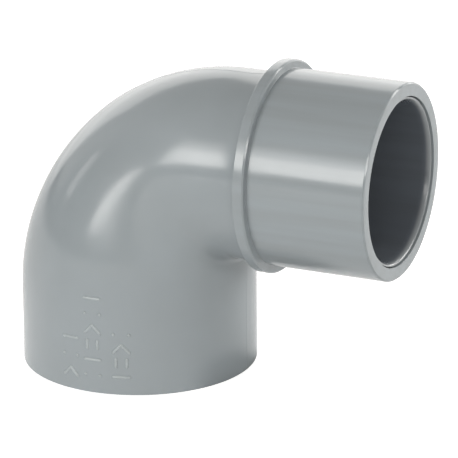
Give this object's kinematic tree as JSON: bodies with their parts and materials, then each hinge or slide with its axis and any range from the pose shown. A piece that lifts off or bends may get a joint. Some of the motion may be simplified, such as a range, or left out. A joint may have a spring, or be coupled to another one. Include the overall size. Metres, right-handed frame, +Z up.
{
  "type": "pvc street elbow",
  "caption": "Right-angle grey PVC fitting: a solvent socket for a 50 mm pipe on one end, a bend, and a collared 50 mm spigot on the other.",
  "frame": {"origin": "centre of the bounding box, at the height of the socket mouth that the fitting stands on", "axes": "+Z up along the socket axis, +X along the spigot axis and out of its mouth, y = 0 the plane of symmetry"},
  "size_m": [0.1028, 0.0604, 0.0833],
  "materials": {
    "elbow_pvc": "mid-grey rigid PVC as moulded, satin gloss, with fine flow waviness",
    "sleeve_pvc": "mid-grey rigid PVC as moulded, satin gloss, slightly smoother than the bend",
    "liner_pvc": "dark grey rigid PVC bore surface with fine drag lines along it"
  },
  "bodies": {
    "root": {"elbow_body": "elbow_pvc", "collared_sleeve": "sleeve_pvc", "liner_tube": "liner_pvc"}
  },
  "joints": []
}
